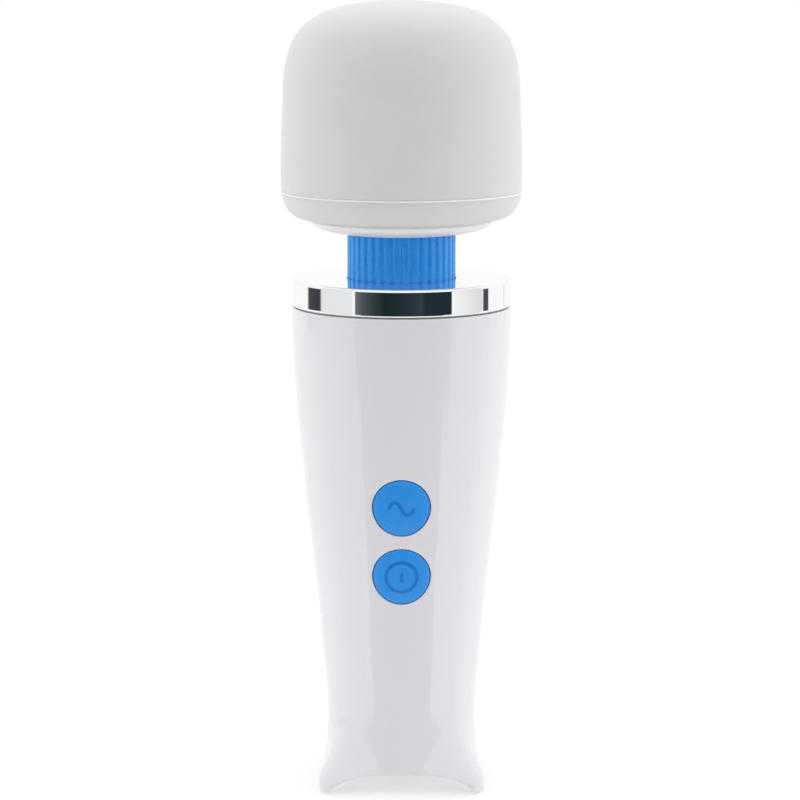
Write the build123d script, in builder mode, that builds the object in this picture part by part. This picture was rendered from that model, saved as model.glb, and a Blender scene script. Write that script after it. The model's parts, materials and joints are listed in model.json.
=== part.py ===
from build123d import *
import os
from math import atan2, cos, pi, sin

os.makedirs("parts", exist_ok=True)

# Cordless handheld wand massager, standing upright on its foot. Millimetres, +Z up.
# The origin is on the floor under the middle of the foot; the buttons face -Y.
# Five rigid groups move: the handle, the flexible neck, the head, the spinning rotor
# and the two push buttons.

# ---- handle ----
handle_top = 98.4  # rim of the two shells
wall = 2.0  # of both shells
seam_half_gap = 0.05  # each shell stops this far from the middle plane
rim_chamfer = 0.3
# The foot stands on four toes. Half span and height of the arch between the toes, and how
# flat its crown is, seen from the front and from the side.
front_arch = (15.3, 3.6, 5.0)
side_arch = (9.0, 1.2, 3.5)
arch_points = 17
outline_points = 32
corner_sharpness = 5  # how tightly the foot's corners are drawn out
rear_share = 0.78  # how far the rear corners are drawn out, as a share of the front ones
# height, radius, and how far the diagonals are stretched into corners
handle_stations = [
    (0.0, 16.4, 0.36),
    (2.5, 16.2, 0.38),
    (4.7, 15.9, 0.33),
    (7.0, 15.6, 0.21),
    (9.5, 15.4, 0.1),
    (13.0, 15.3, 0.02),
    (17.0, 15.38, 0.0),
    (25.0, 16.1, 0.0),
    (36.0, 17.05, 0.0),
    (50.0, 18.6, 0.0),
    (64.0, 20.05, 0.0),
    (78.0, 21.35, 0.0),
    (90.0, 22.15, 0.0),
    (handle_top, 22.35, 0.0),
]

# ---- chrome ring and gasket ----
ring_low = 98.62
ring_top = 104.2
ring_radius = 22.25
ring_edge = 0.55  # rounding of its two outer edges
ring_plate = 1.4
neck_opening = 11.3
spigot_radius = 20.2
spigot_low = 93.6

# ---- flexible neck ----
sleeve_radius = 11.0
sleeve_bore = 8.6
sleeve_low = 101.2
sleeve_high = 116.4
rib_count = 36
groove_radius = 0.3
spring_wire = 0.6  # wire radius
spring_radius = 7.3
spring_turns = 6

# ---- head ----
total_height = 160.0
head_radius = 24.35
mould_line = 121.6  # fine raised line round the cushion
cushion_edge = 116.2  # lower edge of the cushion
core_radius = 21.4
core_wall = 1.8
core_low = 119.85
core_shoulder = 145.5  # where its side starts to round over
core_top = 156.0
collar_low = 113.2
shaft_radius = 1.5
running_gap = 0.03
motor_radius = 12.0
motor_low = 121.4
motor_top = 144.0
weight_low = 146.2
weight_height = 6.0

# ---- buttons and circuit board, measured in from the front face ----
mode_height = 60.1
power_height = 45.8
button_radius = 5.68
button_opening = 5.86
button_proud = 0.3  # top of a button's domed face over the face plane
crown_across = 13.76  # radius of the domed face from side to side
crown_along = 46.0  # and up the handle
button_travel = 0.6
flange_radius = 6.9
flange_depth = 2.7
flange_thickness = 0.9
stem_radius = 1.5
plunger_depth = 5.1
switch_depth = 6.4
board_depth = 9.8
board_thickness = 1.2
icon_depth = 0.75
icon_stroke = 0.68
icon_gap = 0.02

# ---- power ----
cell_radius = 7.0
cell_y = 5.6
cell_low = 24.0
cell_length = 50.0
socket_radius = 4.0
socket_low = 3.8
socket_high = 16.5
cap_low = 3.8
cap_high = 6.2
lead_radius = 0.5

# ---- fasteners ----
upper_posts = [(-13.0, 82.0), (13.0, 82.0)]
lower_posts = [(-9.0, 18.5), (9.0, 18.5)]
posts = upper_posts + lower_posts
post_gap = 0.9  # half the slot between front and rear posts, which the frame's ears fill
front_post_radius = 3.0
rear_post_radius = 3.6
screw_seat = 6.0  # the screw heads sit this far behind the middle plane
plug_radius = 2.4
base_screw_y = 9.2


def save(piece, name):
    """Names a finished sub-part and writes its STEP file."""
    piece.part.label = name
    export_step(piece.part, f"parts/{name}.step")


def handle_radius(height):
    """Radius of the handle at a height, between its stations."""
    for (low, start, _), (high, end, _) in zip(handle_stations, handle_stations[1:]):
        if low <= height <= high:
            return start + (end - start) * (height - low) / (high - low)
    raise ValueError(height)


def arch_outline(span, rise, flatness):
    """Points of an arch from one foot to the other, flat-crowned and steep at its ends."""
    points = []
    for step in range(arch_points):
        across = -cos(pi * step / (arch_points - 1))
        points.append((-span * across, rise * (1 - abs(across) ** flatness)))
    return points


def handle_outline(radius, stretch):
    """Points of one level outline: a circle with its diagonals stretched into corners."""
    points = []
    for step in range(outline_points):
        angle = 2 * pi * step / outline_points
        share = rear_share if angle < pi else 1
        reach = radius * (1 + share * stretch * abs(sin(2 * angle)) ** corner_sharpness)
        points.append((reach * cos(angle), reach * sin(angle)))
    return points


def handle_form(inset):
    """Solid of the handle's outline, drawn in all round by inset."""
    with BuildPart() as form:
        for height, radius, stretch in handle_stations:
            with BuildSketch(Plane.XY.offset(height)):
                with BuildLine():
                    Spline(*handle_outline(radius - inset, stretch), periodic=True)
                make_face()
        loft()
    return form


def tube(outer, inner, low, high):
    """Upright tube or washer between two heights."""
    with BuildPart() as ring:
        with BuildSketch(Plane.XY.offset(low)):
            Circle(outer)
            Circle(inner, mode=Mode.SUBTRACT)
        extrude(amount=high - low)
    return ring


def screw_group(seat, places, shank_radius, length, head_radius, head_height):
    """Pan-head screws with cross slots: heads on the seat plane, shanks below it."""
    slot_length = 1.2 * head_radius
    slot_width = 0.3 * head_radius
    with BuildPart() as screws:
        with BuildSketch(seat):
            with Locations(*places):
                Circle(head_radius)
        extrude(amount=head_height)
        with BuildSketch(seat):
            with Locations(*places):
                Circle(shank_radius)
        extrude(amount=-length)
        with BuildSketch(seat.offset(head_height)):
            with Locations(*places):
                Rectangle(slot_length, slot_width)
                Rectangle(slot_width, slot_length)
        extrude(amount=-head_height / 2, mode=Mode.SUBTRACT)
    return screws


def lead_pair(routes, bends):
    """Insulated wires along straight runs joined by arcs."""
    with BuildPart() as leads:
        for route in routes:
            with BuildLine() as path:
                FilletPolyline(*route, radius=bends)
            start = Plane(origin=path.line @ 0, z_dir=path.line % 0)
            with BuildSketch(start):
                Circle(lead_radius)
            sweep(path=path.line)
    return leads


# The two buttons share one flat face plane: local x is +X, local y runs up the face,
# local z points out of the handle.
face_tilt = atan2(
    handle_radius(mode_height) - handle_radius(power_height),
    mode_height - power_height,
)
face_origin = Vector(
    0,
    -(handle_radius(mode_height) + handle_radius(power_height)) / 2,
    (mode_height + power_height) / 2,
)
face = Plane(
    origin=face_origin,
    x_dir=(1, 0, 0),
    z_dir=(0, -cos(face_tilt), -sin(face_tilt)),
)
button_offset = (mode_height - power_height) / 2 / cos(face_tilt)
outer_form = handle_form(0)

# ======================= handle shells =======================

with BuildPart() as handle_tube:
    add(outer_form.part)
    add(handle_form(wall).part, mode=Mode.SUBTRACT)
    chamfer(handle_tube.edges().group_by(Axis.Z)[-1].sort_by(SortBy.LENGTH)[-1], rim_chamfer)
    for side_plane, arch in ((Plane.XZ, front_arch), (Plane.YZ, side_arch)):
        span = arch[0]
        with BuildSketch(side_plane):
            with BuildLine():
                Polyline((-span, 0), (-span, -1), (span, -1), (span, 0))
                Spline(*arch_outline(*arch))
            make_face()
        extrude(amount=30, both=True, mode=Mode.SUBTRACT)

with BuildPart() as post_space:
    add(handle_form(wall / 2).part)

# front shell: screw posts, base boss and the two stepped button openings
with BuildPart() as front_shell:
    with BuildSketch(Plane.XZ.offset(post_gap)):
        with Locations(*posts):
            Circle(front_post_radius)
    extrude(amount=30)
    with BuildSketch(Plane.XY.offset(cap_high + 0.05)):
        with Locations((0, -base_screw_y)):
            Circle(2.6)
        with Locations((0, -base_screw_y - 4)):
            Rectangle(3.0, 8.0)
    extrude(amount=6)
    add(post_space.part, mode=Mode.INTERSECT)
    add(handle_tube.part)
    split(bisect_by=Plane.XZ.offset(seam_half_gap), keep=Keep.TOP)
    with BuildSketch(Plane.XZ.offset(post_gap)):
        with Locations(*posts):
            Circle(1.05)
    extrude(amount=7.5, mode=Mode.SUBTRACT)
    with BuildSketch(Plane.XY.offset(cap_high)):
        with Locations((0, -base_screw_y)):
            Circle(0.95)
    extrude(amount=5.2, mode=Mode.SUBTRACT)
    with BuildSketch(face.offset(-4)):
        with Locations((0, button_offset), (0, -button_offset)):
            Circle(button_opening)
    extrude(amount=8, mode=Mode.SUBTRACT)
    with BuildSketch(face.offset(-flange_depth + 0.1)):
        with Locations((0, button_offset), (0, -button_offset)):
            Circle(flange_radius + 0.2)
    extrude(amount=-3, mode=Mode.SUBTRACT)
save(front_shell, "front_shell")

# rear shell: deep posts that take the screws from behind, and the other base boss
behind = Plane(origin=(0, 0, 0), x_dir=(-1, 0, 0), z_dir=(0, 1, 0))
with BuildPart() as rear_shell:
    with BuildSketch(behind.offset(post_gap)):
        with Locations(*posts):
            Circle(rear_post_radius)
    extrude(amount=30)
    with BuildSketch(Plane.XY.offset(cap_high + 0.05)):
        with Locations((0, base_screw_y)):
            Circle(2.6)
        with Locations((0, base_screw_y + 4)):
            Rectangle(3.0, 8.0)
    extrude(amount=6)
    add(post_space.part, mode=Mode.INTERSECT)
    add(handle_tube.part)
    split(bisect_by=behind.offset(seam_half_gap), keep=Keep.TOP)
    with BuildSketch(behind.offset(post_gap)):
        with Locations(*posts):
            Circle(1.4)
    extrude(amount=10, mode=Mode.SUBTRACT)
    with BuildSketch(behind.offset(screw_seat)):
        with Locations(*posts):
            Circle(plug_radius + 0.05)
    extrude(amount=20, mode=Mode.SUBTRACT)
    with BuildSketch(Plane.XY.offset(cap_high)):
        with Locations((0, base_screw_y)):
            Circle(0.95)
    extrude(amount=5.2, mode=Mode.SUBTRACT)
save(rear_shell, "rear_shell")

shell_screws = screw_group(behind.offset(screw_seat + 0.05), posts, 1.0, 12.5, 2.2, 1.4)
save(shell_screws, "shell_screws")

# plugs that hide the four screws, flush with the rear shell
with BuildPart() as screw_plugs:
    for places, start in ((upper_posts, 13.6), (lower_posts, 9.2)):
        with BuildSketch(behind.offset(start)):
            with Locations(*places):
                Circle(plug_radius)
        extrude(amount=12)
    add(outer_form.part, mode=Mode.INTERSECT)
save(screw_plugs, "screw_plugs")

# ======================= base =======================

with BuildPart() as base_cap:
    with BuildSketch(Plane.XY.offset(cap_low)):
        Rectangle(60, 60)
    extrude(amount=cap_high - cap_low)
    add(handle_form(wall + 0.1).part, mode=Mode.INTERSECT)
    with BuildSketch(Plane.XY.offset(cap_low)):
        Circle(socket_radius - 0.75)
        with Locations((0, base_screw_y), (0, -base_screw_y)):
            Circle(1.2)
    extrude(amount=cap_high - cap_low, mode=Mode.SUBTRACT)
    with BuildSketch(Plane.XY.offset(cap_low)):
        with Locations((0, base_screw_y), (0, -base_screw_y)):
            Circle(2.1)
    extrude(amount=1.1, mode=Mode.SUBTRACT)
save(base_cap, "base_cap")

base_seat = Plane(origin=(0, 0, cap_low + 1.05), x_dir=(1, 0, 0), z_dir=(0, 0, -1))
base_screws = screw_group(
    base_seat, [(0, base_screw_y), (0, -base_screw_y)], 0.9, 5.5, 1.9, 0.95
)
save(base_screws, "base_screws")

# round charging socket with a blind bore, its centre pin and two solder lugs
with BuildPart() as charge_socket:
    with BuildSketch(Plane.XY.offset(socket_low)):
        Circle(socket_radius - 0.8)
    extrude(amount=cap_high - socket_low + 0.05)
    with BuildSketch(Plane.XY.offset(cap_high + 0.05)):
        Circle(socket_radius)
    extrude(amount=socket_high - cap_high - 0.05)
    with BuildSketch(Plane.XY.offset(socket_low)):
        Circle(2.75)
    extrude(amount=9.6, mode=Mode.SUBTRACT)
save(charge_socket, "charge_socket")

with BuildPart() as socket_contacts:
    with BuildSketch(Plane.XY.offset(socket_low + 0.8)):
        Circle(0.65)
    extrude(amount=8.8)
    with BuildSketch(Plane.XY.offset(socket_high)):
        with Locations((-2, -1.4), (2, -1.4)):
            Rectangle(1.6, 0.4)
    extrude(amount=2.4)
save(socket_contacts, "socket_contacts")

# ======================= chrome ring, gasket and neck clamp =======================

boss_spots = [Vector(16.1, 0).rotate(Axis.Z, 30 + 120 * turn) for turn in range(3)]
boss_places = [(spot.X, spot.Y) for spot in boss_spots]

with BuildPart() as chrome_ring:
    with BuildSketch(Plane.XZ):
        with BuildLine():
            Line((neck_opening, ring_top), (ring_radius - ring_edge, ring_top))
            RadiusArc(
                (ring_radius - ring_edge, ring_top),
                (ring_radius, ring_top - ring_edge),
                ring_edge,
            )
            Line((ring_radius, ring_top - ring_edge), (ring_radius, ring_low + ring_edge))
            RadiusArc(
                (ring_radius, ring_low + ring_edge),
                (ring_radius - ring_edge, ring_low),
                ring_edge,
            )
            Polyline(
                (ring_radius - ring_edge, ring_low),
                (spigot_radius, ring_low),
                (spigot_radius, spigot_low),
                (spigot_radius - wall, spigot_low),
                (spigot_radius - wall, ring_top - ring_plate),
                (neck_opening, ring_top - ring_plate),
                (neck_opening, ring_top),
            )
        make_face()
    revolve(axis=Axis.Z)
    with BuildSketch(Plane.XY.offset(sleeve_low)):
        with Locations(*boss_places):
            Circle(1.7)
    extrude(amount=ring_top - ring_plate - sleeve_low + 0.2)
    with BuildSketch(Plane.XY.offset(sleeve_low)):
        with Locations(*boss_places):
            Circle(0.95)
    extrude(amount=2.2, mode=Mode.SUBTRACT)
save(chrome_ring, "chrome_ring")

ring_gasket = tube(ring_radius - 0.4, spigot_radius + 0.1, handle_top + 0.02, ring_low - 0.02)
save(ring_gasket, "ring_gasket")

with BuildPart() as neck_clamp:
    with BuildSketch(Plane.XY.offset(sleeve_low - 1.6)):
        Circle(spigot_radius - wall - 0.3)
        Circle(5.5, mode=Mode.SUBTRACT)
        with Locations(*boss_places):
            Circle(1.1, mode=Mode.SUBTRACT)
    extrude(amount=1.5)
save(neck_clamp, "neck_clamp")

clamp_seat = Plane(origin=(0, 0, sleeve_low - 1.65), x_dir=(-1, 0, 0), z_dir=(0, 0, -1))
clamp_screws = screw_group(clamp_seat, boss_places, 0.9, 3.5, 1.8, 1.1)
save(clamp_screws, "clamp_screws")

# ======================= flexible neck =======================

# ribbed sleeve with a flange at each end
with BuildPart() as neck_sleeve:
    with BuildSketch(Plane.XY.offset(sleeve_low)):
        Circle(sleeve_radius)
        Circle(sleeve_bore, mode=Mode.SUBTRACT)
        with PolarLocations(sleeve_radius + 0.02, rib_count):
            Circle(groove_radius, mode=Mode.SUBTRACT)
    extrude(amount=sleeve_high - sleeve_low)
    with BuildSketch(Plane.XY.offset(sleeve_low)):
        Circle(14.1)
        Circle(sleeve_bore, mode=Mode.SUBTRACT)
    extrude(amount=ring_top - ring_plate - sleeve_low - 0.1)
    with BuildSketch(Plane.XY.offset(collar_low + 1.85)):
        Circle(13.3)
        Circle(sleeve_bore, mode=Mode.SUBTRACT)
    extrude(amount=sleeve_high - collar_low - 1.85)
save(neck_sleeve, "neck_sleeve")

spring_low = sleeve_low + spring_wire
spring_length = sleeve_high - sleeve_low - 2 * spring_wire
with BuildPart() as neck_spring:
    with BuildLine() as coil:
        Helix(
            pitch=spring_length / spring_turns,
            height=spring_length,
            radius=spring_radius,
            center=(0, 0, spring_low),
        )
    with BuildSketch(Plane(origin=coil.line @ 0, z_dir=coil.line % 0)):
        Circle(spring_wire)
    sweep(path=coil.line, is_frenet=True)
save(neck_spring, "neck_spring")

# ======================= head =======================


def dome_profile(radius, low, top):
    """Half section of a round-shouldered cap, closed on the axis."""
    flat = radius - (top - core_shoulder)
    with BuildSketch(Plane.XZ) as profile:
        with BuildLine():
            Polyline((flat, top), (0, top), (0, low), (radius, low), (radius, core_shoulder))
            CenterArc((flat, core_shoulder), top - core_shoulder, 0, 90)
        make_face()
    return profile


with BuildPart() as head_cushion:
    with BuildSketch(Plane.XZ):
        with BuildLine():
            Spline(
                (0, total_height),
                (8.5, 159.45),
                (15.7, 157.6),
                (20.6, 154.0),
                (22.95, 149.3),
                (24.0, 140.0),
                (head_radius, 129.0),
                (head_radius, mould_line + 0.15),
                tangents=((1, 0), (0, -1)),
            )
            Polyline(
                (head_radius, mould_line + 0.15),
                (head_radius + 0.12, mould_line + 0.08),
                (head_radius + 0.12, mould_line - 0.08),
                (head_radius - 0.1, mould_line - 0.15),
            )
            Spline(
                (head_radius - 0.1, mould_line - 0.15),
                (23.5, 118.9),
                (21.5, 116.8),
                (18.65, cushion_edge),
                tangents=((-0.08, -1), (-1, -0.1)),
            )
            Polyline(
                (18.65, cushion_edge),
                (18.65, core_low - 1.85),
                (core_radius + 0.05, core_low - 1.85),
                (core_radius + 0.05, core_low),
                (0, core_low),
                (0, total_height),
            )
        make_face()
    revolve(axis=Axis.Z)
    add(dome_profile(core_radius + 0.05, core_low - 0.5, core_top + 0.05).sketch)
    revolve(axis=Axis.Z, mode=Mode.SUBTRACT)
save(head_cushion, "head_cushion")

with BuildPart() as core_cap:
    add(dome_profile(core_radius, core_low, core_top).sketch)
    revolve(axis=Axis.Z)
    add(dome_profile(core_radius - core_wall, core_low, core_top - core_wall).sketch)
    revolve(axis=Axis.Z, mode=Mode.SUBTRACT)
save(core_cap, "core_cap")

retainer_spots = [Vector(15.0, 0).rotate(Axis.Z, 90 + 120 * turn) for turn in range(3)]
retainer_places = [(spot.X, spot.Y) for spot in retainer_spots]

# shallow dish that closes the head round the neck
with BuildPart() as head_base:
    with BuildSketch(Plane.XZ):
        with BuildLine():
            Line((neck_opening, collar_low), (13.1, collar_low))
            Spline(
                (13.1, collar_low),
                (16.2, 113.95),
                (18.45, 115.6),
                tangents=((1, 0.05), (0.4, 1)),
            )
            Polyline(
                (18.45, 115.6),
                (18.6, 118.0),
                (18.6, core_low - 1.75),
                (core_radius - 0.1, core_low - 1.75),
                (core_radius - 0.1, core_low - 0.05),
                (17.0, core_low - 0.05),
                (17.0, 116.2),
                (16.3, collar_low + 1.8),
                (neck_opening, collar_low + 1.8),
                (neck_opening, collar_low),
            )
        make_face()
    revolve(axis=Axis.Z)
    with BuildSketch(Plane.XY.offset(collar_low + 1.6)):
        with Locations(*retainer_places):
            Circle(1.4)
    extrude(amount=sleeve_high - collar_low - 1.6)
    with BuildSketch(Plane.XY.offset(collar_low + 1.1)):
        with Locations(*retainer_places):
            Circle(0.85)
    extrude(amount=5, mode=Mode.SUBTRACT)
save(head_base, "head_base")

with BuildPart() as neck_retainer:
    with BuildSketch(Plane.XY.offset(sleeve_high + 0.05)):
        Circle(16.8)
        Circle(5.5, mode=Mode.SUBTRACT)
        with Locations(*retainer_places):
            Circle(1.0, mode=Mode.SUBTRACT)
    extrude(amount=1.3)
save(neck_retainer, "neck_retainer")

retainer_screws = screw_group(
    Plane.XY.offset(sleeve_high + 1.4), retainer_places, 0.8, 3.3, 1.6, 1.0
)
save(retainer_screws, "retainer_screws")

# ======================= motor =======================

holder_wall = 17.6
isolator_radius = 15.8

with BuildPart() as motor_holder:
    with BuildSketch(Plane.XY.offset(core_low)):
        Circle(core_radius - core_wall - 0.1)
        Circle(7.0, mode=Mode.SUBTRACT)
    extrude(amount=motor_low - core_low - 0.05)
    with BuildSketch(Plane.XY.offset(core_low)):
        Circle(holder_wall)
        Circle(isolator_radius + 0.1, mode=Mode.SUBTRACT)
    extrude(amount=motor_top - core_low - 0.5)
save(motor_holder, "motor_holder")

holder_ring = tube(holder_wall, motor_radius + 0.4, motor_top - 0.45, motor_top + 0.9)
save(holder_ring, "holder_ring")

motor_isolator = tube(isolator_radius, motor_radius + 0.05, motor_low, motor_top - 1.0)
save(motor_isolator, "motor_isolator")

with BuildPart() as motor_can:
    with BuildSketch(Plane.XY.offset(motor_low + 1.4)):
        Circle(motor_radius)
    extrude(amount=motor_top - motor_low - 1.4)
    with BuildSketch(Plane.XY.offset(motor_low + 1.4)):
        Circle(motor_radius - 1.0)
    extrude(amount=motor_top - motor_low - 2.4, mode=Mode.SUBTRACT)
    with BuildSketch(Plane.XY.offset(motor_top)):
        Circle(3.3)
    extrude(amount=-2, mode=Mode.SUBTRACT)
save(motor_can, "motor_can")

terminal_x = 3.4
with BuildPart() as motor_end_cap:
    with BuildSketch(Plane.XY.offset(motor_low)):
        Circle(motor_radius - 0.1)
    extrude(amount=1.35)
    with BuildSketch(Plane.XY.offset(motor_low)):
        Circle(2.55)
        with Locations((terminal_x, 0), (-terminal_x, 0)):
            Rectangle(0.6, 2.2)
    extrude(amount=1.35, mode=Mode.SUBTRACT)
save(motor_end_cap, "motor_end_cap")

# brass tabs through the end cap, and the sprung arms and blocks that touch the commutator
with BuildPart() as motor_terminals:
    with BuildSketch(Plane.XY.offset(motor_low - 2.2)):
        with Locations((terminal_x, 0), (-terminal_x, 0)):
            Rectangle(0.5, 2.0)
    extrude(amount=5.6)
save(motor_terminals, "motor_terminals")

with BuildPart() as motor_brushes:
    with BuildSketch(Plane.XY.offset(motor_low + 2.1)):
        with Locations((2.78, 0), (-2.78, 0)):
            Rectangle(0.7, 1.6)
    extrude(amount=1.2)
save(motor_brushes, "motor_brushes")

lower_bush = tube(2.5, shaft_radius + running_gap, motor_low, motor_low + 1.7)
save(lower_bush, "lower_bush")

upper_bush = tube(3.25, shaft_radius + running_gap, motor_top - 1.4, motor_top + 0.8)
save(upper_bush, "upper_bush")

# two arched magnets against the can's wall
with BuildPart() as motor_magnets:
    with BuildSketch(Plane.XY.offset(motor_low + 4.0)):
        Circle(motor_radius - 1.05)
        Circle(9.2, mode=Mode.SUBTRACT)
        Rectangle(10, 30, mode=Mode.SUBTRACT)
    extrude(amount=14.5)
save(motor_magnets, "motor_magnets")

with BuildPart() as motor_shaft:
    with BuildSketch(Plane.XY.offset(motor_low - 0.6)):
        Circle(shaft_radius)
    extrude(amount=weight_low + weight_height + 0.6 - motor_low + 0.6)
    chamfer(motor_shaft.edges().filter_by(GeomType.CIRCLE), 0.25)
save(motor_shaft, "motor_shaft")

rotor_low = motor_low + 5.0
rotor_length = 12.5
with BuildPart() as rotor_core:
    with BuildSketch(Plane.XY.offset(rotor_low)):
        Circle(8.7)
        Circle(7.2, mode=Mode.SUBTRACT)
        with PolarLocations(8.0, 3, start_angle=60):
            Rectangle(4.0, 1.6, mode=Mode.SUBTRACT)
        Circle(3.2)
        with PolarLocations(5.2, 3):
            Rectangle(5.0, 2.4)
        Circle(shaft_radius + 0.01, mode=Mode.SUBTRACT)
    extrude(amount=rotor_length)
save(rotor_core, "rotor_core")

# one coil round each arm of the core
with BuildPart() as rotor_windings:
    with BuildSketch(Plane.XY.offset(rotor_low - 1.4)):
        with PolarLocations(5.2, 3):
            Rectangle(2.7, 5.0)
    extrude(amount=rotor_length + 2.8)
    with BuildSketch(Plane.XY.offset(rotor_low - 0.1)):
        with PolarLocations(5.2, 3):
            Rectangle(4.0, 2.6)
    extrude(amount=rotor_length + 0.2, mode=Mode.SUBTRACT)
save(rotor_windings, "rotor_windings")

commutator = tube(2.35, shaft_radius + 0.01, motor_low + 1.9, rotor_low - 0.2)
save(commutator, "commutator")

# half disc on a hub: the off-centre mass that shakes the head
with BuildPart() as eccentric_weight:
    with BuildSketch(Plane.XY.offset(weight_low)):
        Circle(11.0)
        with Locations((-11.0, 0)):
            Rectangle(22.0, 30.0, mode=Mode.SUBTRACT)
        Circle(3.6)
        Circle(shaft_radius + 0.01, mode=Mode.SUBTRACT)
    extrude(amount=weight_height)
    chamfer(eccentric_weight.faces().sort_by(Axis.Z)[-1].outer_wire().edges(), 0.4)
save(eccentric_weight, "eccentric_weight")

# ======================= buttons =======================


def wave_sketch(plane, stroke):
    """Mode symbol: one and a half periods of a wave, a zigzag with rounded corners."""
    step = 1.75
    crest = 3.0
    zigzag = [(-1.5 * step, 0), (-step, crest), (0, -crest), (step, crest), (1.5 * step, 0)]
    with BuildSketch(plane) as symbol:
        with BuildLine():
            FilletPolyline(*zigzag, radius=0.5)
        trace(line_width=stroke)
    return symbol


def power_sketch(plane, stroke):
    """On/off symbol: a ring round a short upright bar."""
    with BuildSketch(plane) as symbol:
        Circle(3.1 + stroke / 2)
        Circle(3.1 - stroke / 2, mode=Mode.SUBTRACT)
        Rectangle(stroke, 2.0)
    return symbol


def button_crown(plane):
    """Barrel whose side is the domed face of a button."""
    half = 8.0
    side = button_proud - crown_along + (crown_along**2 - half**2) ** 0.5
    core = button_proud - crown_across
    along = Plane(origin=plane.origin, x_dir=plane.y_dir, z_dir=plane.x_dir)
    with BuildPart() as crown:
        with BuildSketch(along):
            with BuildLine():
                ThreePointArc((-half, side), (0, button_proud), (half, side))
                Polyline((half, side), (half, core), (-half, core), (-half, side))
            make_face()
        revolve(axis=Axis(along.from_local_coords((0, core, 0)), along.x_dir))
    return crown


def button_cap(plane, symbol_sketch):
    """Push button: domed cap, retaining flange, stem, and a pocket for its symbol."""
    with BuildPart() as cap:
        with BuildSketch(plane.offset(-flange_depth)):
            Circle(button_radius)
        extrude(amount=flange_depth + 1)
        with BuildSketch(plane.offset(-flange_depth)):
            Circle(flange_radius)
        extrude(amount=-flange_thickness)
        with BuildSketch(plane.offset(-flange_depth)):
            Circle(stem_radius)
        extrude(amount=flange_depth - plunger_depth)
        add(button_crown(plane).part, mode=Mode.INTERSECT)
        add(symbol_sketch(plane.offset(-icon_depth), icon_stroke + icon_gap).sketch)
        extrude(amount=icon_depth + 1, dir=plane.z_dir, mode=Mode.SUBTRACT)
    return cap


def button_icon(plane, symbol_sketch):
    """Darker inlay that fills the pocket, flush with the cap."""
    with BuildPart() as icon:
        add(symbol_sketch(plane.offset(-icon_depth + icon_gap), icon_stroke).sketch)
        extrude(amount=icon_depth + 1, dir=plane.z_dir)
        add(button_crown(plane).part, mode=Mode.INTERSECT)
    return icon


def switch_plunger(plane):
    """Small round plunger under the button's stem."""
    with BuildPart() as plunger:
        with BuildSketch(plane.offset(-plunger_depth)):
            Circle(stem_radius)
        extrude(amount=-2.2)
    return plunger


def switch_housing(plane):
    """Square tactile switch on the board, with a well for its plunger."""
    with BuildPart() as housing:
        with BuildSketch(plane.offset(-board_depth + 0.02)):
            Rectangle(6.0, 6.0)
        extrude(amount=board_depth - switch_depth)
        with BuildSketch(plane.offset(-switch_depth + 1)):
            Circle(stem_radius + 0.08)
        extrude(amount=-3.0, mode=Mode.SUBTRACT)
        with BuildSketch(plane.offset(-board_depth + 0.02)):
            with Locations((-3.6, 2.0), (3.6, 2.0), (-3.6, -2.0), (3.6, -2.0)):
                Rectangle(1.3, 0.7)
        extrude(amount=0.3)
    return housing


for name, side, symbol_sketch in (
    ("mode", 1, wave_sketch),
    ("power", -1, power_sketch),
):
    place = Plane(
        origin=face.from_local_coords((0, side * button_offset, 0)),
        x_dir=face.x_dir,
        z_dir=face.z_dir,
    )
    save(button_cap(place, symbol_sketch), f"{name}_button")
    save(button_icon(place, symbol_sketch), f"{name}_symbol")
    save(switch_plunger(place), f"{name}_plunger")
    save(switch_housing(place), f"{name}_switch")

# ======================= circuit board =======================

board_width = 17.6
board_length = 50.0
board_middle = 3.0  # up the face from the point between the buttons
board_holes = [(x, board_middle + y) for x in (-7.3, 7.3) for y in (-23.2, 23.2)]
board_front = face.offset(-board_depth)
board_back = face.offset(-board_depth - board_thickness)

with BuildPart() as circuit_board:
    with BuildSketch(board_front):
        with Locations((0, board_middle)):
            RectangleRounded(board_width, board_length, 1.0)
        with Locations(*board_holes):
            Circle(0.9, mode=Mode.SUBTRACT)
    extrude(amount=-board_thickness)
save(circuit_board, "circuit_board")

board_screws = screw_group(board_front.offset(0.02), board_holes, 0.8, 3.2, 1.4, 0.8)
save(board_screws, "board_screws")

# small lamps that light the translucent buttons from behind
with BuildPart() as button_lights:
    with BuildSketch(board_front.offset(0.02)):
        with Locations(*[(x, y) for x in (-5.6, 5.6) for y in (-button_offset, button_offset)]):
            Rectangle(1.2, 2.0)
    extrude(amount=0.8)
save(button_lights, "button_lights")

with BuildPart() as controller_chip:
    with BuildSketch(board_front.offset(0.02)):
        with Locations((0, 15.6)):
            Rectangle(5.0, 5.0)
    extrude(amount=0.9)
save(controller_chip, "controller_chip")

with BuildPart() as board_components:
    with BuildSketch(board_front.offset(0.02)):
        with GridLocations(9.6, 2.2, 2, 3):
            Rectangle(1.6, 0.8)
        with Locations((0, -14.2)):
            Rectangle(3.0, 3.0)
        with Locations((-5.6, -14.0), (5.6, -14.0), (-5.8, 15.4), (5.8, 15.4)):
            Rectangle(1.0, 1.8)
    extrude(amount=0.7)
save(board_components, "board_components")

connector_y = 24.0
connector_x = 3.9


def wire_connector(x):
    """Two-way plug and header at the top of the board."""
    with BuildPart() as connector:
        with BuildSketch(board_front.offset(0.02)):
            with Locations((x, connector_y - 1.8)):
                Rectangle(5.6, 4.6)
        extrude(amount=3.6)
        with BuildSketch(board_front.offset(3.62)):
            with Locations((x - 1.2, connector_y - 2.4), (x + 1.2, connector_y - 2.4)):
                Rectangle(1.2, 1.6)
        extrude(amount=-0.8, mode=Mode.SUBTRACT)
    return connector


save(wire_connector(-connector_x), "motor_connector")
save(wire_connector(connector_x), "battery_connector")

# ======================= battery and frame =======================

cell_high = cell_low + cell_length
cell_middle = (0, cell_y)

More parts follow.
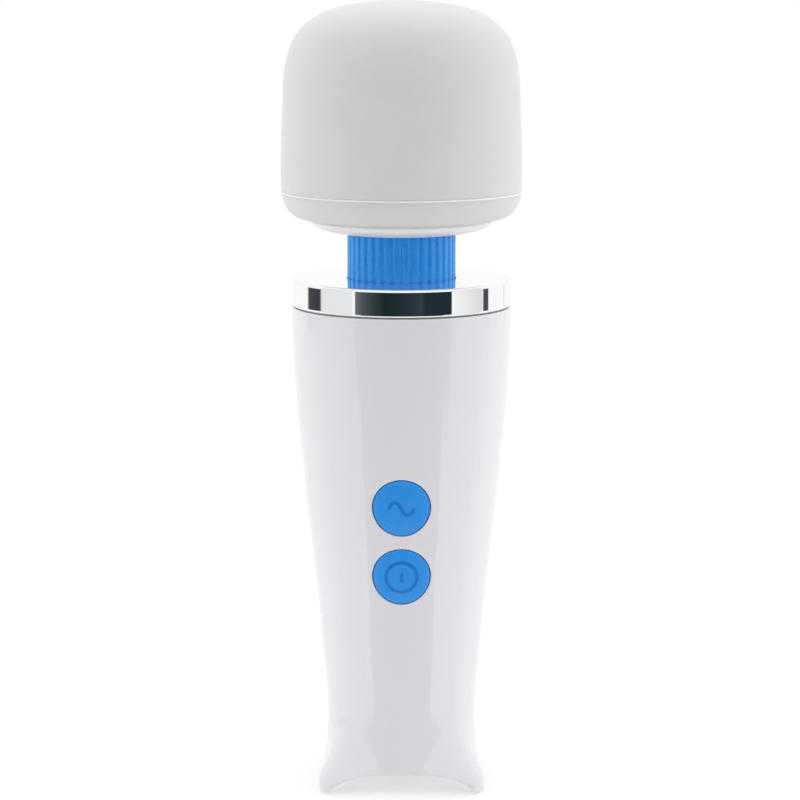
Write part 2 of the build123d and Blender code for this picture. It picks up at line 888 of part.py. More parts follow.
with BuildPart() as battery_cell:
    with BuildSketch(Plane.XY.offset(cell_low)):
        with Locations(cell_middle):
            Circle(cell_radius)
    extrude(amount=cell_length)
    fillet(battery_cell.edges().filter_by(GeomType.CIRCLE), 0.6)
    with BuildSketch(Plane.XY.offset(cell_high - 0.1)):
        with Locations(cell_middle):
            Circle(2.6)
    extrude(amount=0.8)
save(battery_cell, "battery_cell")

tab_thickness = 0.25
with BuildPart() as battery_tabs:
    with BuildSketch(Plane.XY.offset(cell_high + 0.72)):
        with Locations((1.5, cell_y)):
            Rectangle(6.0, 4.0)
    extrude(amount=tab_thickness)
    with BuildSketch(Plane.XY.offset(cell_low - 0.3)):
        with Locations((3.6, cell_y + 1.4)):
            Rectangle(11.0, 4.0)
    extrude(amount=tab_thickness)
save(battery_tabs, "battery_tabs")

plate_front = face.offset(-board_depth - board_thickness - 1.6)
plate_thickness = 1.2
ear_half = 0.8  # half thickness of the ears between the shell posts


def plate_back_y(height):
    """Y of the sloping plate's rear surface at a height."""
    depth = board_depth + board_thickness + 1.6 + plate_thickness
    climb = (height - face_origin.Z - depth * sin(face_tilt)) / cos(face_tilt)
    return face_origin.Y + depth * cos(face_tilt) - climb * sin(face_tilt)


# sloping plate with board standoffs, saddles for the cell, a stop under it,
# and four ears that the shell screws pass through
with BuildPart() as inner_frame:
    with BuildSketch(plate_front):
        with Locations((0, -0.8)):
            Rectangle(18.4, 62.0)
    extrude(amount=-plate_thickness)
    with BuildSketch(plate_front):
        with Locations(*board_holes):
            Circle(1.7)
    extrude(amount=1.6 - 0.02)
    for height in (32.0, 50.0, 68.0):
        saddle_low = plate_back_y(height) - 0.7
        with BuildSketch(Plane.XY.offset(height - 2)):
            with Locations((0, (saddle_low + cell_y) / 2)):
                Rectangle(18.4, cell_y - saddle_low)
            with Locations(cell_middle):
                Circle(cell_radius + 0.1, mode=Mode.SUBTRACT)
        extrude(amount=4)
    with BuildSketch(Plane.XY.offset(cell_low - 1.9)):
        with Locations((0, 3.0)):
            Rectangle(11.8, 12.4)
    extrude(amount=1.5)
    with BuildSketch(Plane.XY.offset(15.8)):
        with Locations((-5.2, -1.2), (5.2, -1.2)):
            Rectangle(1.4, 4.0)
    extrude(amount=6.6)
    with BuildSketch(Plane.XY.offset(15.8)):
        with Locations((-8.2, 0), (8.2, 0)):
            Rectangle(7.4, 2 * ear_half)
    extrude(amount=5.4)
    with BuildSketch(Plane.XY.offset(79.2)):
        with Locations((-8.4, -4.0), (8.4, -4.0)):
            Rectangle(1.6, 9.6)
        with Locations((-11.9, 0), (11.9, 0)):
            Rectangle(8.6, 2 * ear_half)
    extrude(amount=4.2)
    with BuildSketch(Plane.XZ.offset(-ear_half)):
        with Locations(*posts):
            Circle(1.3)
    extrude(amount=2 * ear_half, mode=Mode.SUBTRACT)
    with BuildSketch(plate_front.offset(1.6)):
        with Locations(*board_holes):
            Circle(0.85)
    extrude(amount=-2.6, mode=Mode.SUBTRACT)
save(inner_frame, "inner_frame")

# ======================= leads =======================

lead_top = motor_low - 2.25
entry = face.from_local_coords((0, connector_y + 0.55, -board_depth + 1.8))
above = face.from_local_coords((0, connector_y + 7.5, -board_depth + 1.8))


def connector_end(x):
    """Last two points of a lead: above the connector, then at its mouth."""
    return [(x, above.Y, above.Z), (x, entry.Y, entry.Z)]


motor_routes = []
for side in (-1, 1):
    start = [(side * terminal_x, 0, lead_top), (side * terminal_x, 0, 96)]
    motor_routes.append(start + connector_end(-connector_x + side * 1.2))
motor_leads = lead_pair(motor_routes, 3.0)
save(motor_leads, "motor_leads")

battery_routes = [
    [(3.2, cell_y, 75.6), (3.2, cell_y, 87), (3.6, -2, 91)]
    + connector_end(connector_x - 1.2),
    [(8.2, cell_y + 1.4, 24.6), (8.2, cell_y + 1.4, 83), (6.6, -2, 91)]
    + connector_end(connector_x + 1.2),
]
battery_leads = lead_pair(battery_routes, 2.5)
save(battery_leads, "battery_leads")

pad = face.from_local_coords((0, -20.6, -board_depth + lead_radius + 0.05))
charge_routes = []
for side in (-1, 1):
    x = 2 * side
    charge_routes.append(
        [(x, -2.15, socket_high + 1.0), (x, -2.15, 19.6), (x, -8.6, 27.6), (x, pad.Y, pad.Z)]
    )
charge_leads = lead_pair(charge_routes, 1.6)
save(charge_leads, "charge_leads")
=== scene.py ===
import json
import math

import bmesh
import bpy
import numpy as np
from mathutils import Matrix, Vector


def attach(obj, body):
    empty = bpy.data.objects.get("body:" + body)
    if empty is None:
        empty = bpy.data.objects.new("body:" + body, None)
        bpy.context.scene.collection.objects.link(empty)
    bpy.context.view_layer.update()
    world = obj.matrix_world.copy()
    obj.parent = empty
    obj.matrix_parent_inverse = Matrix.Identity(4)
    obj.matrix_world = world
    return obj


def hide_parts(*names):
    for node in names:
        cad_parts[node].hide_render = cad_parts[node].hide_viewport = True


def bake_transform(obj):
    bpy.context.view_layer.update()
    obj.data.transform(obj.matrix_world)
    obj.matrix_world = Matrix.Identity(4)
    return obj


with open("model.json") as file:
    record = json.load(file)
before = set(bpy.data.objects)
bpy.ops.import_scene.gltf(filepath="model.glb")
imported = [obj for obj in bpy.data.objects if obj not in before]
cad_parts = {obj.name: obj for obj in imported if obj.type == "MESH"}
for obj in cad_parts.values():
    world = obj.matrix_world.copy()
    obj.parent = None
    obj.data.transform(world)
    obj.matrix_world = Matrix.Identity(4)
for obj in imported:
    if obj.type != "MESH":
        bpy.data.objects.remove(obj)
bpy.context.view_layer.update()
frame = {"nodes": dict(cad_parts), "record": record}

MM = 0.001
TAU = 2 * math.pi


# ---------------------------------------------------------------- curves and meshes


def spline(points, start, end, count):
    """Points along a smooth curve through points, with its end directions held."""
    p = np.array(points, float)
    chord = np.linalg.norm(np.diff(p, axis=0), axis=1)
    at = np.concatenate([[0], np.cumsum(chord)])
    n = len(p)
    a = np.zeros((n, n))
    b = np.zeros((n, p.shape[1]))
    a[0, 0] = a[-1, -1] = 1
    b[0] = np.array(start, float) / np.linalg.norm(start)
    b[-1] = np.array(end, float) / np.linalg.norm(end)
    for i in range(1, n - 1):
        h0, h1 = chord[i - 1], chord[i]
        a[i, i - 1 : i + 2] = h1, 2 * (h0 + h1), h0
        b[i] = 3 * (h1 / h0 * (p[i] - p[i - 1]) + h0 / h1 * (p[i + 1] - p[i]))
    slope = np.linalg.solve(a, b)
    out = []
    for u in np.linspace(0, at[-1], count):
        i = min(int(np.searchsorted(at, u, side="right")) - 1, n - 2)
        h = chord[i]
        t = (u - at[i]) / h
        out.append(
            (2 * t**3 - 3 * t**2 + 1) * p[i]
            + (t**3 - 2 * t**2 + t) * h * slope[i]
            + (3 * t**2 - 2 * t**3) * p[i + 1]
            + (t**3 - t**2) * h * slope[i + 1]
        )
    return [tuple(q) for q in out]


def natural(x, y):
    """A smooth function through the points (x, y)."""
    x, y = np.array(x, float), np.array(y, float)
    n, h = len(x), np.diff(x)
    a, b = np.zeros((n, n)), np.zeros(n)
    a[0, 0] = a[-1, -1] = 1
    for i in range(1, n - 1):
        a[i, i - 1 : i + 2] = h[i - 1], 2 * (h[i - 1] + h[i]), h[i]
        b[i] = 6 * ((y[i + 1] - y[i]) / h[i] - (y[i] - y[i - 1]) / h[i - 1])
    m = np.linalg.solve(a, b)

    def value(q):
        q = np.clip(np.asarray(q, float), x[0], x[-1])
        i = np.clip(np.searchsorted(x, q, side="right") - 1, 0, n - 2)
        left, right = q - x[i], x[i + 1] - q
        return (
            (m[i] * right**3 + m[i + 1] * left**3) / (6 * h[i])
            + (y[i] / h[i] - m[i] * h[i] / 6) * right
            + (y[i + 1] / h[i] - m[i + 1] * h[i] / 6) * left
        )

    return value


def corner(r0, z0, r1, z1, steps=6):
    """Quarter round in a profile from (r0, z0) to (r1, z1), leaving along r."""
    pts = []
    for i in range(steps + 1):
        t = math.pi / 2 * i / steps
        pts.append((r0 + (r1 - r0) * math.sin(t), z1 + (z0 - z1) * math.cos(t)))
    return pts


def piece(name, verts, faces, materials, slots=None, angle=38):
    """A smooth mesh object from points in millimetres."""
    mesh = bpy.data.meshes.new(name)
    mesh.from_pydata([tuple(c * MM for c in v) for v in verts], [], faces)
    for m in materials:
        mesh.materials.append(m)
    if slots is not None:
        mesh.polygons.foreach_set("material_index", slots)
    mesh.validate()
    mesh.shade_smooth()
    mesh.set_sharp_from_angle(angle=math.radians(angle))
    obj = bpy.data.objects.new(name, mesh)
    bpy.context.scene.collection.objects.link(obj)
    return obj


def lathe(name, profile, materials, segments=192, angle=38):
    """A turned piece. A profile point on the axis closes it with a fan."""
    verts, rings = [], []
    for r, z in profile:
        if r < 1e-6:
            rings.append([len(verts)])
            verts.append((0, 0, z))
        else:
            rings.append(list(range(len(verts), len(verts) + segments)))
            verts += [
                (r * math.cos(TAU * i / segments), r * math.sin(TAU * i / segments), z)
                for i in range(segments)
            ]
    faces = []
    for a, b in zip(rings, rings[1:]):
        for i in range(segments):
            j = (i + 1) % segments
            if len(a) == 1:
                faces.append((a[0], b[j], b[i]))
            elif len(b) == 1:
                faces.append((a[i], a[j], b[0]))
            else:
                faces.append((a[i], a[j], b[j], b[i]))
    return piece(name, verts, faces, materials, angle=angle)


# ---------------------------------------------------------------- materials


def material(name, color, roughness, metallic=0.0, **sockets):
    """A Principled material. Every surface then gets its own noise for colour, gloss and relief."""
    m = bpy.data.materials.new(name)
    m.use_nodes = True
    shader = m.node_tree.nodes["Principled BSDF"]
    shader.inputs["Base Color"].default_value = (*color, 1)
    shader.inputs["Roughness"].default_value = roughness
    shader.inputs["Metallic"].default_value = metallic
    for key, value in sockets.items():
        shader.inputs[key.replace("_", " ")].default_value = value
    return m


def add(m, kind, **values):
    node = m.node_tree.nodes.new(kind)
    for key, value in values.items():
        if key in node.inputs:
            node.inputs[key].default_value = value
        else:
            setattr(node, key, value)
    return node


def wire(m, source, out, target, into):
    m.node_tree.links.new(source.outputs[out], target.inputs[into])


def surface(m, scale, colors, rough, bump=0.0, bump_scale=None, detail=4.0, stretch=(1, 1, 1)):
    """Noise over the piece: a shift of colour, a range of roughness and a fine relief in metres."""
    shader = m.node_tree.nodes["Principled BSDF"]
    place = add(m, "ShaderNodeTexCoord")
    mapping = add(m, "ShaderNodeMapping")
    mapping.inputs["Scale"].default_value = stretch
    wire(m, place, "Object", mapping, "Vector")
    noise = add(m, "ShaderNodeTexNoise", Scale=scale, Detail=detail, Roughness=0.55)
    wire(m, mapping, "Vector", noise, "Vector")
    ramp = add(m, "ShaderNodeValToRGB")
    ramp.color_ramp.elements[0].position = 0.3
    ramp.color_ramp.elements[1].position = 0.7
    ramp.color_ramp.elements[0].color = (*colors[0], 1)
    ramp.color_ramp.elements[1].color = (*colors[1], 1)
    wire(m, noise, "Fac", ramp, "Fac")
    wire(m, ramp, "Color", shader, "Base Color")
    span = add(m, "ShaderNodeMapRange")
    span.inputs["From Min"].default_value = 0.3
    span.inputs["From Max"].default_value = 0.7
    span.inputs["To Min"].default_value = rough[0]
    span.inputs["To Max"].default_value = rough[1]
    wire(m, noise, "Fac", span, "Value")
    wire(m, span, "Result", shader, "Roughness")
    if bump:
        fine = add(m, "ShaderNodeTexNoise", Scale=bump_scale or scale * 4, Detail=3.0)
        wire(m, mapping, "Vector", fine, "Vector")
        relief = add(m, "ShaderNodeBump", Strength=1.0, Distance=bump)
        wire(m, fine, "Fac", relief, "Height")
        wire(m, relief, "Normal", shader, "Normal")
    return m


def plain(name, color, rough, metallic=0.0, scale=600, spread=0.08, bump=0.0, **sockets):
    """A moulded or drawn surface: the colour drifts a little and the gloss is uneven."""
    low = tuple(c * (1 - spread) for c in color)
    high = tuple(min(1, c * (1 + spread)) for c in color)
    m = material(name, color, rough, metallic, **sockets)
    return surface(m, scale, (low, high), (rough * 0.85, rough * 1.15), bump)


shell_white = plain(
    "shell_white", (0.775, 0.767, 0.80), 0.075, scale=45, spread=0.006, bump=0.000004,
    **{"IOR": 1.52, "Coat Weight": 0.25, "Coat Roughness": 0.03},
)
plug_white = plain("plug_white", (0.76, 0.757, 0.775), 0.12, scale=300, spread=0.01, IOR=1.5)
base_grey = plain("base_grey", (0.70, 0.70, 0.71), 0.38, scale=900, spread=0.03, bump=0.00003)
chrome = plain("chrome", (0.93, 0.935, 0.94), 0.028, 1.0, scale=220, spread=0.004)
# the seal is a lighter grey than its dark rubber: painted light in the shaded groove under the
# chrome ring
seal_rubber = plain("seal_rubber", (0.24, 0.24, 0.245), 0.6, scale=1500, spread=0.2, bump=0.00002)
silicone_white = plain(
    "silicone_white", (0.705, 0.702, 0.688), 0.52, scale=160, spread=0.012, bump=0.000018,
    **{"Sheen Weight": 0.35, "Sheen Roughness": 0.4, "Specular IOR Level": 0.35,
       "Subsurface Weight": 0.12, "Subsurface Scale": 0.002},
)
# the mould line's bead is a lighter white than the head's silicone: a painted highlight along the
# line
mould_painted_highlight = plain("mould_painted_highlight", (0.95, 0.945, 0.93), 0.4, scale=300, spread=0.01)
collar_white = plain("collar_white", (0.9, 0.895, 0.89), 0.32, scale=300, spread=0.01)
sleeve_blue = plain(
    "sleeve_blue", (0.009, 0.315, 0.95), 0.3, scale=500, spread=0.03, bump=0.000004,
    **{"Sheen Weight": 0.7, "Sheen Roughness": 0.5, "Sheen Tint": (0.06, 0.75, 1.0, 1),
       "Specular IOR Level": 0.6},
)
button_blue = plain(
    "button_blue", (0.023, 0.295, 0.82), 0.26, scale=500, spread=0.02, bump=0.000003,
    **{"Specular IOR Level": 0.4},
)
symbol_blue = plain(
    "symbol_blue", (0.008, 0.185, 0.64), 0.26, scale=900, spread=0.04,
    **{"Specular IOR Level": 0.4},
)
inner_plastic = plain("inner_plastic", (0.62, 0.62, 0.60), 0.5, spread=0.03, bump=0.00002)
isolator_rubber = plain("isolator_rubber", (0.03, 0.03, 0.03), 0.7, spread=0.2, bump=0.00002)
black_plastic = plain("black_plastic", (0.02, 0.02, 0.021), 0.45, spread=0.2, bump=0.00002)
motor_steel = plain("motor_steel", (0.55, 0.55, 0.56), 0.32, 1.0, scale=900, spread=0.05)
shaft_steel = plain("shaft_steel", (0.66, 0.66, 0.67), 0.16, 1.0, scale=1500, spread=0.05)
core_steel = plain("core_steel", (0.36, 0.36, 0.37), 0.42, 1.0, scale=1500, spread=0.15)
spring_steel = plain("spring_steel", (0.5, 0.5, 0.51), 0.25, 1.0, scale=1200, spread=0.08)
screw_steel = plain("screw_steel", (0.56, 0.56, 0.58), 0.28, 1.0, scale=1500, spread=0.1)
brass = plain("brass", (0.78, 0.57, 0.22), 0.3, 1.0, scale=1200, spread=0.08)
copper = plain("copper", (0.72, 0.33, 0.18), 0.35, 1.0, scale=1800, spread=0.12)
bronze = plain("bronze", (0.50, 0.34, 0.17), 0.48, 1.0, scale=1500, spread=0.12)
magnet = plain("magnet", (0.07, 0.07, 0.075), 0.55, 0.6, scale=1500, spread=0.2)
board_green = plain("board_green", (0.015, 0.16, 0.07), 0.28, scale=700, spread=0.15)
light_lens = plain("light_lens", (0.86, 0.86, 0.74), 0.15, scale=900, spread=0.03)
switch_red = plain("switch_red", (0.45, 0.03, 0.025), 0.4, scale=900, spread=0.08)
connector_cream = plain("connector_cream", (0.78, 0.73, 0.60), 0.45, scale=900, spread=0.04)
cell_sleeve = plain("cell_sleeve", (0.05, 0.16, 0.36), 0.25, scale=400, spread=0.08)
nickel = plain("nickel", (0.66, 0.63, 0.58), 0.22, 1.0, scale=1500, spread=0.06)
lead_insulation = plain("lead_insulation", (0.5, 0.025, 0.02), 0.35, scale=900, spread=0.08)

finishes = {
    "shell_white": shell_white, "plug_white": plug_white, "base_grey": base_grey,
    "chrome": chrome, "seal_rubber": seal_rubber, "silicone_white": silicone_white,
    "collar_white": collar_white, "sleeve_blue": sleeve_blue, "button_blue": button_blue,
    "symbol_blue": symbol_blue, "inner_plastic": inner_plastic,
    "isolator_rubber": isolator_rubber, "motor_steel": motor_steel,
    "black_plastic": black_plastic, "brass": brass, "copper": copper, "bronze": bronze,
    "magnet": magnet, "shaft_steel": shaft_steel, "core_steel": core_steel,
    "spring_steel": spring_steel, "screw_steel": screw_steel, "board_green": board_green,
    "light_lens": light_lens, "switch_red": switch_red, "connector_cream": connector_cream,
    "cell_sleeve": cell_sleeve, "nickel": nickel, "lead_insulation": lead_insulation,
}
for part in frame["record"]["subparts"]:
    node = frame["nodes"][part["node"]]
    for place in node.material_slots:
        place.material = finishes[part["material_slot"]]


# ---------------------------------------------------------------- handle shells

WALL = 2.0
TOP = 98.4
FRONT_ARCH = (15.3, 3.6, 5.0)
SIDE_ARCH = (9.0, 1.2, 3.5)
SHARPNESS = 5
REAR_SHARE = 0.78
FOOT_TOP = 17.0
HALF_GAP = 0.05
TABLE_STEP = 0.05
# height, radius, and how far the corners of the foot are drawn out
STATIONS = (
    (0.0, 16.4, 0.36), (2.5, 16.2, 0.38), (4.7, 15.9, 0.33), (7.0, 15.6, 0.21),
    (9.5, 15.4, 0.1), (13.0, 15.3, 0.02), (17.0, 15.38, 0.0), (25.0, 16.1, 0.0),
    (36.0, 17.05, 0.0), (50.0, 18.6, 0.0), (64.0, 20.05, 0.0), (78.0, 21.35, 0.0),
    (90.0, 22.15, 0.0), (TOP, 22.35, 0.0),
)
heights = np.arange(0.0, TOP + TABLE_STEP, TABLE_STEP)
radii = natural([s[0] for s in STATIONS], [s[1] for s in STATIONS])(heights).tolist()
stretches = natural([s[0] for s in STATIONS], [s[2] for s in STATIONS])(heights).tolist()


def look_up(table, z):
    """A value of a table by height."""
    place = min(max(z, 0.0), TOP) / TABLE_STEP
    i = min(int(place), len(table) - 2)
    return table[i] + (table[i + 1] - table[i]) * (place - i)


def radius_at(z):
    return look_up(radii, z)


def reach(theta, z, inset=0.0, share=1.0):
    """Distance from the axis to the handle's skin."""
    k = share * max(look_up(stretches, z), 0.0) if z < FOOT_TOP else 0.0
    return (look_up(radii, z) - inset) * (1 + k * abs(math.sin(2 * theta)) ** SHARPNESS)


def skin_y(x, z, share=1.0):
    """How far the skin is from the middle plane, straight over (x, z)."""
    far = radius_at(z)
    for _ in range(0 if z > FOOT_TOP else 12):
        far = reach(math.acos(min(1.0, abs(x) / far)), z, 0.0, share)
    return math.sqrt(far**2 - x * x)


def arch(value, span, rise, flatness):
    """Height of one of the foot's arches over a distance from its middle."""
    return rise * (1 - (abs(value) / span) ** flatness) if abs(value) < span else 0.0


def lowest(theta, share):
    """Height of the shell's lower edge under a point of the outline."""
    z = 0.0
    for _ in range(14):
        r = reach(theta, z, 0.0, share)
        z = max(arch(r * math.cos(theta), *FRONT_ARCH), arch(r * math.sin(theta), *SIDE_ARCH))
    return z


FACE_LOW, FACE_HIGH, FACE_HEIGHT = 45.8, 60.1, 52.95
FACE_TILT = math.atan2(radius_at(FACE_HIGH) - radius_at(FACE_LOW), FACE_HIGH - FACE_LOW)
face_out = Vector((0, -math.cos(FACE_TILT), -math.sin(FACE_TILT)))
face_up = Vector((0, -math.sin(FACE_TILT), math.cos(FACE_TILT)))
face_middle = Vector((0, -(radius_at(FACE_HIGH) + radius_at(FACE_LOW)) / 2, FACE_HEIGHT))
BUTTON_RISE = 7.15
BUTTON_OFFSET = BUTTON_RISE / math.cos(FACE_TILT)


def over_face(x, up):
    """The skin's height z straight out from the face plane's point (x, up)."""
    z = face_middle.z + up
    for _ in range(30):
        y = -skin_y(x, z)
        z = face_middle.z + (up + math.sin(FACE_TILT) * (y - face_middle.y)) / math.cos(FACE_TILT)
    return z


def button_hole(side):
    """Rim of a button's opening: for an angle and radius, the (x, z) over it on the skin."""

    def rim(angle, radius):
        x = radius * math.cos(angle)
        return x, over_face(x, side * BUTTON_OFFSET + radius * math.sin(angle))

    return rim


def plug_hole(x0, z0):
    """Rim of a screw plug's hole, straight through from behind."""

    def rim(angle, radius):
        return x0 + radius * math.cos(angle), z0 + radius * math.sin(angle)

    return rim


def shell(name, side, holes):
    """Half of the handle's skin: side -1 is the front. Each hole is (rim, x, z, radius, lip,
    inward direction, depth, margin)."""
    edge, seam, lip = 0.5, 0.16, 0.3
    share = REAR_SHARE if side > 0 else 1.0
    # columns: seam wall, its small round, the outline, and the same at the other seam
    columns = []
    ends = [(HALF_GAP, 1.9), (HALF_GAP, 1.0)]
    ends += [
        (HALF_GAP + seam * (1 - math.sin(t)), seam * (1 - math.cos(t)))
        for t in np.linspace(math.pi / 2, 0, 5)
    ]
    for y, depth in ends:
        columns.append(("end", 1, y, depth))
    steps = 124
    first = len(columns)
    start = (HALF_GAP + seam + 0.12) / 16.0
    for i in range(steps + 1):
        columns.append(("turn", start + (math.pi - 2 * start) * i / steps, 0, 0))
    last = len(columns) - 1
    for y, depth in reversed(ends):
        columns.append(("end", -1, y, depth))

    blend_top = 10.0
    rows = [(WALL, 8.0), (WALL, 4.0), (WALL, 1.5), (WALL, lip)]
    rows += [(WALL - lip * math.sin(t), lip * (1 - math.sin(t))) for t in (0.5, 1.0)]
    rows += [(WALL - lip, 0.0), ((WALL - lip + edge) / 2, 0.0), (edge + 0.1, 0.0)]
    rows += [
        (edge * (1 - math.sin(t)), edge * (1 - math.cos(t)))
        for t in np.linspace(0, math.pi / 2, 7)
    ]
    low = len(rows)
    rows += [(0, z) for z in (edge + 0.12, 0.9, 1.3, 1.8, 2.3, 2.9, 3.5, 4.1, 4.7, 5.3, 5.9)]
    rows += [(0, z) for z in np.arange(6.5, TOP - 0.75, 0.72)]
    rows += [(0, TOP - 0.42)]
    high = len(rows) - 1
    rows += [
        (0.3 * (1 - math.cos(t)), TOP - 0.3 * (1 - math.sin(t)))
        for t in np.linspace(0, math.pi / 2, 5)
    ]
    rows += [(1.0, TOP), (WALL, TOP), (WALL, 94.0)]

    verts, index = [], {}

    def vertex(p):
        verts.append((p[0], side * p[1], p[2]))
        return len(verts) - 1

    bottoms = {}
    for c, column in enumerate(columns):
        theta = column[1] if column[0] == "turn" else (0.0 if column[1] > 0 else math.pi)
        bottoms[c] = lowest(theta, share)
        for r, (depth, z) in enumerate(rows):
            if r < low:
                height = bottoms[c] + z if r > 3 else max(bottoms[c] + z, z)
            elif z < blend_top:
                climb = (z - edge) / (blend_top - edge)
                height = (bottoms[c] + edge) * (1 - climb) + blend_top * climb
            else:
                height = z
            if column[0] == "turn":
                reach_here = reach(theta, height, depth, share)
                p = (reach_here * math.cos(theta), reach_here * math.sin(theta), height)
            else:
                far = radius_at(height) - max(depth, column[3])
                p = (column[1] * far, column[2], height)
            index[c, r] = vertex(p)

    taken, faces = set(), []

    def face(loop):
        faces.append(tuple(loop) if side > 0 else tuple(reversed(loop)))

    for rim, x0, z0, radius, round_off, inward, depth, margin in holes:
        size = radius + margin
        turn_low = math.acos(min(1, (x0 + size) / radius_at(z0)))
        turn_high = math.acos(max(-1, (x0 - size) / radius_at(z0)))
        cols = [c for c in range(first, last + 1) if turn_low <= columns[c][1] <= turn_high]
        lines = [r for r in range(low, high + 1) if z0 - size <= rows[r][1] <= z0 + size]
        c0, c1, r0, r1 = cols[0], cols[-1], lines[0], lines[-1]
        taken |= {(c, r) for c in range(c0, c1) for r in range(r0, r1)}
        around = [(c, r0) for c in range(c0, c1)] + [(c1, r) for r in range(r0, r1)]
        around += [(c, r1) for c in range(c1, c0, -1)] + [(c0, r) for r in range(r1, r0, -1)]
        outer = [index[key] for key in around]
        flat = [(verts[i][0], verts[i][2]) for i in outer]
        angles = [math.atan2(z - z0, x - x0) for x, z in flat]
        rings = [outer]
        for far in (0.62, 0.36, 0.16, 0.05, 0.0):
            ring = []
            for (x, z), a in zip(flat, angles):
                cx, cz = rim(a, radius + round_off)
                px, pz = cx * (1 - far) + x * far, cz * (1 - far) + z * far
                ring.append(vertex((px, skin_y(px, pz, share), pz)))
            rings.append(ring)
        inward = Vector((inward[0], abs(inward[1]), inward[2]))
        for t in np.linspace(0, math.pi / 2, 6)[1:]:
            ring = []
            for a in angles:
                x, z = rim(a, radius + round_off * (1 - math.sin(t)))
                p = Vector((x, skin_y(x, z), z)) - inward * (round_off * (1 - math.cos(t)))
                ring.append(vertex(p))
            rings.append(ring)
        ring = []
        for a in angles:
            x, z = rim(a, radius)
            ring.append(vertex(Vector((x, skin_y(x, z), z)) - inward * depth))
        rings.append(ring)
        for a, b in zip(rings, rings[1:]):
            for i in range(len(a)):
                j = (i + 1) % len(a)
                face((a[j], a[i], b[i], b[j]))
    for c in range(len(columns) - 1):
        for r in range(len(rows) - 1):
            if (c, r) not in taken:
                face((index[c, r], index[c + 1, r], index[c + 1, r + 1], index[c, r + 1]))
    return piece(name, verts, faces, [shell_white], angle=50)


BUTTON_OPENING, BUTTON_LIP, BUTTON_DEPTH, BUTTON_MARGIN = 5.86, 0.32, 2.6, 1.15
PLUG_OPENING, PLUG_LIP, PLUG_DEPTH, PLUG_MARGIN = 2.45, 0.14, 2.0, 1.3
PLUG_SPOTS = ((13.0, 82.0), (-13.0, 82.0), (9.0, 18.5), (-9.0, 18.5))

front_holes = [
    (
        button_hole(at), 0.0, over_face(0.0, at * BUTTON_OFFSET), BUTTON_OPENING, BUTTON_LIP,
        (0, math.cos(FACE_TILT), -math.sin(FACE_TILT)), BUTTON_DEPTH, BUTTON_MARGIN,
    )
    for at in (1, -1)
]
rear_holes = [
    (plug_hole(x, z), x, z, PLUG_OPENING, PLUG_LIP, (0, 1, 0), PLUG_DEPTH, PLUG_MARGIN)
    for x, z in PLUG_SPOTS
]
front_skin = shell("front_shell_skin", -1, front_holes)
rear_skin = shell("rear_shell_skin", 1, rear_holes)
for skin, node in ((front_skin, "front_shell"), (rear_skin, "rear_shell")):
    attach(skin, "handle")
    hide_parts(node)

# ---------------------------------------------------------------- chrome ring and head

RING_LOW, RING_TOP, RING_RADIUS, RING_EDGE = 98.58, 104.2, 22.25, 0.55
NECK_OPENING = 11.3
RING_BORE = 11.14

ring_profile = [(RING_BORE, RING_TOP - 1.4), (RING_BORE, RING_TOP - 0.1)]
ring_profile += [
    (RING_BORE + 0.1 * (1 - math.cos(t)), RING_TOP - 0.1 * (1 - math.sin(t)))
    for t in np.linspace(0, math.pi / 2, 5)[1:]
]
ring_profile += [(12.2, RING_TOP), (16.0, RING_TOP), (20.0, RING_TOP), (21.5, RING_TOP)]
ring_profile += corner(RING_RADIUS - RING_EDGE, RING_TOP, RING_RADIUS, RING_TOP - RING_EDGE, 9)
ring_profile += [
    (RING_RADIUS, z)
    for z in np.linspace(RING_TOP - RING_EDGE - 0.1, RING_LOW + RING_EDGE + 0.1, 6)
]
ring_profile += [
    (r, z)
    for r, z in reversed(
        corner(RING_RADIUS - RING_EDGE, RING_LOW, RING_RADIUS, RING_LOW + RING_EDGE, 9)
    )
]
ring_profile += [(21.0, RING_LOW), (20.25, RING_LOW), (20.2, 98.5), (20.2, 97.0)]
ring_skin = lathe("chrome_ring_skin", list(reversed(ring_profile)), [chrome], 256)
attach(ring_skin, "handle")
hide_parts("chrome_ring")

MOULD_LINE = 121.6
HEAD_RADIUS = 24.35
cushion_side = spline(
    [(0, 160), (8.5, 159.45), (15.7, 157.6), (20.6, 154.0), (22.95, 149.3), (24.0, 140.0),
     (24.35, 129.0), (24.35, 122.08)],
    (1, 0), (0, -1), 90,
)
cushion_foot = spline(
    [(24.26, 121.42), (23.5, 118.9), (21.5, 116.8), (18.65, 116.2)], (-0.08, -1), (-1, -0.1), 26
)
# the mould line: a fine groove over a small sloping ledge, and a thin bead laid along it, coloured
# a lighter white than the silicone as a painted highlight
ledge = [
    (HEAD_RADIUS + out, MOULD_LINE + up)
    for out, up in (
        (-0.02, 0.43), (-0.1, 0.36), (-0.14, 0.28), (-0.11, 0.21), (0.085, -0.06),
        (0.11, -0.1), (0.10, -0.14), (0.03, -0.17),
    )
]
cushion_profile = [(max(r, 0.0), z) for r, z in cushion_side] + ledge + cushion_foot
cushion_profile += [(18.63, 116.32), (18.62, 116.8), (18.62, 118.0)]
cushion = lathe("head_cushion_skin", list(reversed(cushion_profile)), [silicone_white], 256, 60)
mould_bead = [
    (HEAD_RADIUS + out, MOULD_LINE + up)
    for out, up in (
        (-0.2, 0.19), (0.0, 0.17), (0.07, 0.12), (0.11, 0.04), (0.11, -0.04), (0.07, -0.12),
        (0.0, -0.17), (-0.2, -0.19),
    )
]
bead = lathe("head_mould_line", list(reversed(mould_bead)), [mould_painted_highlight], 256, 60)
for obj in (cushion, bead):
    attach(obj, "head")
    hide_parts("head_cushion")

